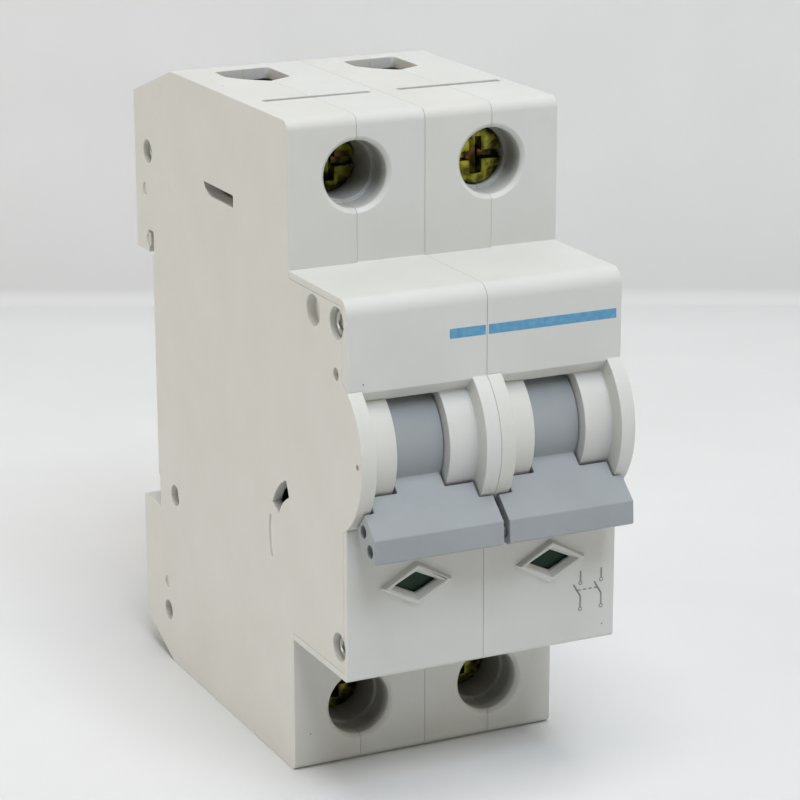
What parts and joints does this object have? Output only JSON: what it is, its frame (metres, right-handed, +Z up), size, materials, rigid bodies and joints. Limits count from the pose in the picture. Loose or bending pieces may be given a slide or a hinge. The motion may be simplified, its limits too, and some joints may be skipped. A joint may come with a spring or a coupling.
{
  "type": "circuit breaker",
  "caption": "Rail-mounted miniature circuit breaker with a linked rocker handle, screw clamp terminals, position flags, a trip mechanism and arc chutes inside its housings.",
  "frame": {"origin": "middle of the face that rests on the rail, half way between the two poles", "axes": "+X along the rail to the right seen from the front, +Y into the panel, +Z up"},
  "size_m": [0.035, 0.0708, 0.0798],
  "materials": {
    "case_plastic": "fine moulded texture, warm light grey",
    "handle_plastic": "smooth moulded blue grey",
    "inner_plastic": "moulded, dark",
    "clip_plastic": "moulded grey",
    "steel_wire": "drawn spring wire",
    "plated_steel": "zinc plated, passivated",
    "copper": "rolled copper",
    "silver": "silver alloy contact",
    "bimetal": "rolled strip",
    "fibre": "vulcanised fibre board",
    "screw_brass": "yellow passivated zinc",
    "indicator": "green field, red field above it"
  },
  "bodies": {
    "housing": {"case_base_1": "case_plastic", "case_lid_1": "case_plastic", "fixed_contact_1": "copper", "arm_spring_1": "steel_wire", "coil_1": "copper", "coil_bobbin_1": "inner_plastic", "coil_yoke_1": "plated_steel", "bimetal_1": "bimetal", "braid_1": "copper", "arc_plates_1": "plated_steel", "chute_frame_1": "fibre", "lower_runner_1": "plated_steel", "bus_plate_top_1": "copper", "bus_plate_bottom_1": "copper", "case_base_2": "case_plastic", "case_lid_2": "case_plastic", "fixed_contact_2": "copper", "arm_spring_2": "steel_wire", "coil_2": "copper", "coil_bobbin_2": "inner_plastic", "coil_yoke_2": "plated_steel", "bimetal_2": "bimetal", "braid_2": "copper", "arc_plates_2": "plated_steel", "chute_frame_2": "fibre", "lower_runner_2": "plated_steel", "bus_plate_top_2": "copper", "bus_plate_bottom_2": "copper", "pivot_pins": "plated_steel", "plunger_springs": "steel_wire", "calibration_screws": "screw_brass", "case_rivets": "plated_steel"},
    "toggle": {"toggle_1": "handle_plastic", "toggle_2": "handle_plastic", "tie_pins": "plated_steel"},
    "trip": {"trip_lever_1": "inner_plastic", "trip_lever_2": "inner_plastic", "trip_bar": "plated_steel"},
    "link_1": {"toggle_link_1": "steel_wire"},
    "arm_1": {"contact_arm_1": "copper", "arm_tip_1": "silver"},
    "latch_1": {"latch_1": "plated_steel"},
    "plunger_1": {"plunger_1": "plated_steel"},
    "flag_1": {"flag_1": "indicator"},
    "clip_1": {"rail_clip_1": "clip_plastic"},
    "screw_top_1": {"screw_top_1": "screw_brass"},
    "clamp_top_1": {"clamp_top_1": "plated_steel"},
    "screw_bottom_1": {"screw_bottom_1": "screw_brass"},
    "clamp_bottom_1": {"clamp_bottom_1": "plated_steel"},
    "link_2": {"toggle_link_2": "steel_wire"},
    "arm_2": {"contact_arm_2": "copper", "arm_tip_2": "silver"},
    "latch_2": {"latch_2": "plated_steel"},
    "plunger_2": {"plunger_2": "plated_steel"},
    "flag_2": {"flag_2": "indicator"},
    "clip_2": {"rail_clip_2": "clip_plastic"},
    "screw_top_2": {"screw_top_2": "screw_brass"},
    "clamp_top_2": {"clamp_top_2": "plated_steel"},
    "screw_bottom_2": {"screw_bottom_2": "screw_brass"},
    "clamp_bottom_2": {"clamp_bottom_2": "plated_steel"}
  },
  "joints": [
    {"name": "toggle_swing", "type": "hinge", "parent": "housing", "child": "toggle", "pos_m": [0, -0.0536, 0.0039], "axis": [-1, 0, 0], "range_deg": [0, 80]},
    {"name": "trip_swing", "type": "hinge", "parent": "housing", "child": "trip", "pos_m": [0, -0.0457, -0.0113], "axis": [1, 0, 0], "range_deg": [0, 8], "stiffness_Nm_per_rad": 0.02, "springref_deg": -8.59},
    {"name": "link_swing_1", "type": "hinge", "parent": "toggle", "child": "link_1", "pos_m": [-0.00875, -0.05115, 0.00596], "axis": [1, 0, 0], "range_deg": [0, 80]},
    {"name": "arm_swing_1", "type": "hinge", "parent": "housing", "child": "arm_1", "pos_m": [-0.00875, -0.0365, -0.001], "axis": [1, 0, 0], "range_deg": [0, 29.81]},
    {"name": "flag_slide_1", "type": "slide", "parent": "housing", "child": "flag_1", "axis": [0, 0, -1], "range_m": [0, 0.00321]},
    {"name": "latch_swing_1", "type": "hinge", "parent": "arm_1", "child": "latch_1", "pos_m": [-0.00875, -0.0365, -0.001], "axis": [1, 0, 0], "range_deg": [0, 8], "stiffness_Nm_per_rad": 0.005, "springref_deg": -5.73},
    {"name": "plunger_slide_1", "type": "slide", "parent": "housing", "child": "plunger_1", "axis": [0, -1, 0], "range_m": [0, 0.0022], "stiffness_N_per_m": 120, "springref_m": -0.002},
    {"name": "clip_slide_1", "type": "slide", "parent": "housing", "child": "clip_1", "axis": [0, 0, -1], "range_m": [0, 0.003], "stiffness_N_per_m": 1500, "springref_m": -0.001},
    {"name": "screw_top_turn_1", "type": "hinge", "parent": "housing", "child": "screw_top_1", "pos_m": [-0.00875, -0.03, 0.03275], "axis": [0, 1, 0], "range_deg": [0, 1800]},
    {"name": "clamp_top_slide_1", "type": "slide", "parent": "housing", "child": "clamp_top_1", "axis": [0, -1, 0], "range_m": [0, 0.00401]},
    {"name": "screw_bottom_turn_1", "type": "hinge", "parent": "housing", "child": "screw_bottom_1", "pos_m": [-0.00875, -0.03, -0.03275], "axis": [0, 1, 0], "range_deg": [0, 1800]},
    {"name": "clamp_bottom_slide_1", "type": "slide", "parent": "housing", "child": "clamp_bottom_1", "axis": [0, -1, 0], "range_m": [0, 0.00401]},
    {"name": "link_swing_2", "type": "hinge", "parent": "toggle", "child": "link_2", "pos_m": [0.00875, -0.05115, 0.00596], "axis": [1, 0, 0], "range_deg": [0, 80]},
    {"name": "arm_swing_2", "type": "hinge", "parent": "housing", "child": "arm_2", "pos_m": [0.00875, -0.0365, -0.001], "axis": [1, 0, 0], "range_deg": [0, 29.81]},
    {"name": "flag_slide_2", "type": "slide", "parent": "housing", "child": "flag_2", "axis": [0, 0, -1], "range_m": [0, 0.00321]},
    {"name": "latch_swing_2", "type": "hinge", "parent": "arm_2", "child": "latch_2", "pos_m": [0.00875, -0.0365, -0.001], "axis": [1, 0, 0], "range_deg": [0, 8], "stiffness_Nm_per_rad": 0.005, "springref_deg": -5.73},
    {"name": "plunger_slide_2", "type": "slide", "parent": "housing", "child": "plunger_2", "axis": [0, -1, 0], "range_m": [0, 0.0022], "stiffness_N_per_m": 120, "springref_m": -0.002},
    {"name": "clip_slide_2", "type": "slide", "parent": "housing", "child": "clip_2", "axis": [0, 0, -1], "range_m": [0, 0.003], "stiffness_N_per_m": 1500, "springref_m": -0.001},
    {"name": "screw_top_turn_2", "type": "hinge", "parent": "housing", "child": "screw_top_2", "pos_m": [0.00875, -0.03, 0.03275], "axis": [0, 1, 0], "range_deg": [0, 1800]},
    {"name": "clamp_top_slide_2", "type": "slide", "parent": "housing", "child": "clamp_top_2", "axis": [0, -1, 0], "range_m": [0, 0.00401]},
    {"name": "screw_bottom_turn_2", "type": "hinge", "parent": "housing", "child": "screw_bottom_2", "pos_m": [0.00875, -0.03, -0.03275], "axis": [0, 1, 0], "range_deg": [0, 1800]},
    {"name": "clamp_bottom_slide_2", "type": "slide", "parent": "housing", "child": "clamp_bottom_2", "axis": [0, -1, 0], "range_m": [0, 0.00401]}
  ],
  "couplings": [
    {"joint": "link_swing_1", "follows": "toggle_swing", "ratio": 1},
    {"joint": "arm_swing_1", "follows": "toggle_swing", "ratio": 0.37247},
    {"joint": "flag_slide_1", "follows": "toggle_swing", "m_per_rad": 0.0022918},
    {"joint": "clamp_top_slide_1", "follows": "screw_top_turn_1", "m_per_rad": 0.00012732},
    {"joint": "clamp_bottom_slide_1", "follows": "screw_bottom_turn_1", "m_per_rad": 0.00012732},
    {"joint": "link_swing_2", "follows": "toggle_swing", "ratio": 1},
    {"joint": "arm_swing_2", "follows": "toggle_swing", "ratio": 0.37247},
    {"joint": "flag_slide_2", "follows": "toggle_swing", "m_per_rad": 0.0022918},
    {"joint": "clamp_top_slide_2", "follows": "screw_top_turn_2", "m_per_rad": 0.00012732},
    {"joint": "clamp_bottom_slide_2", "follows": "screw_bottom_turn_2", "m_per_rad": 0.00012732}
  ]
}
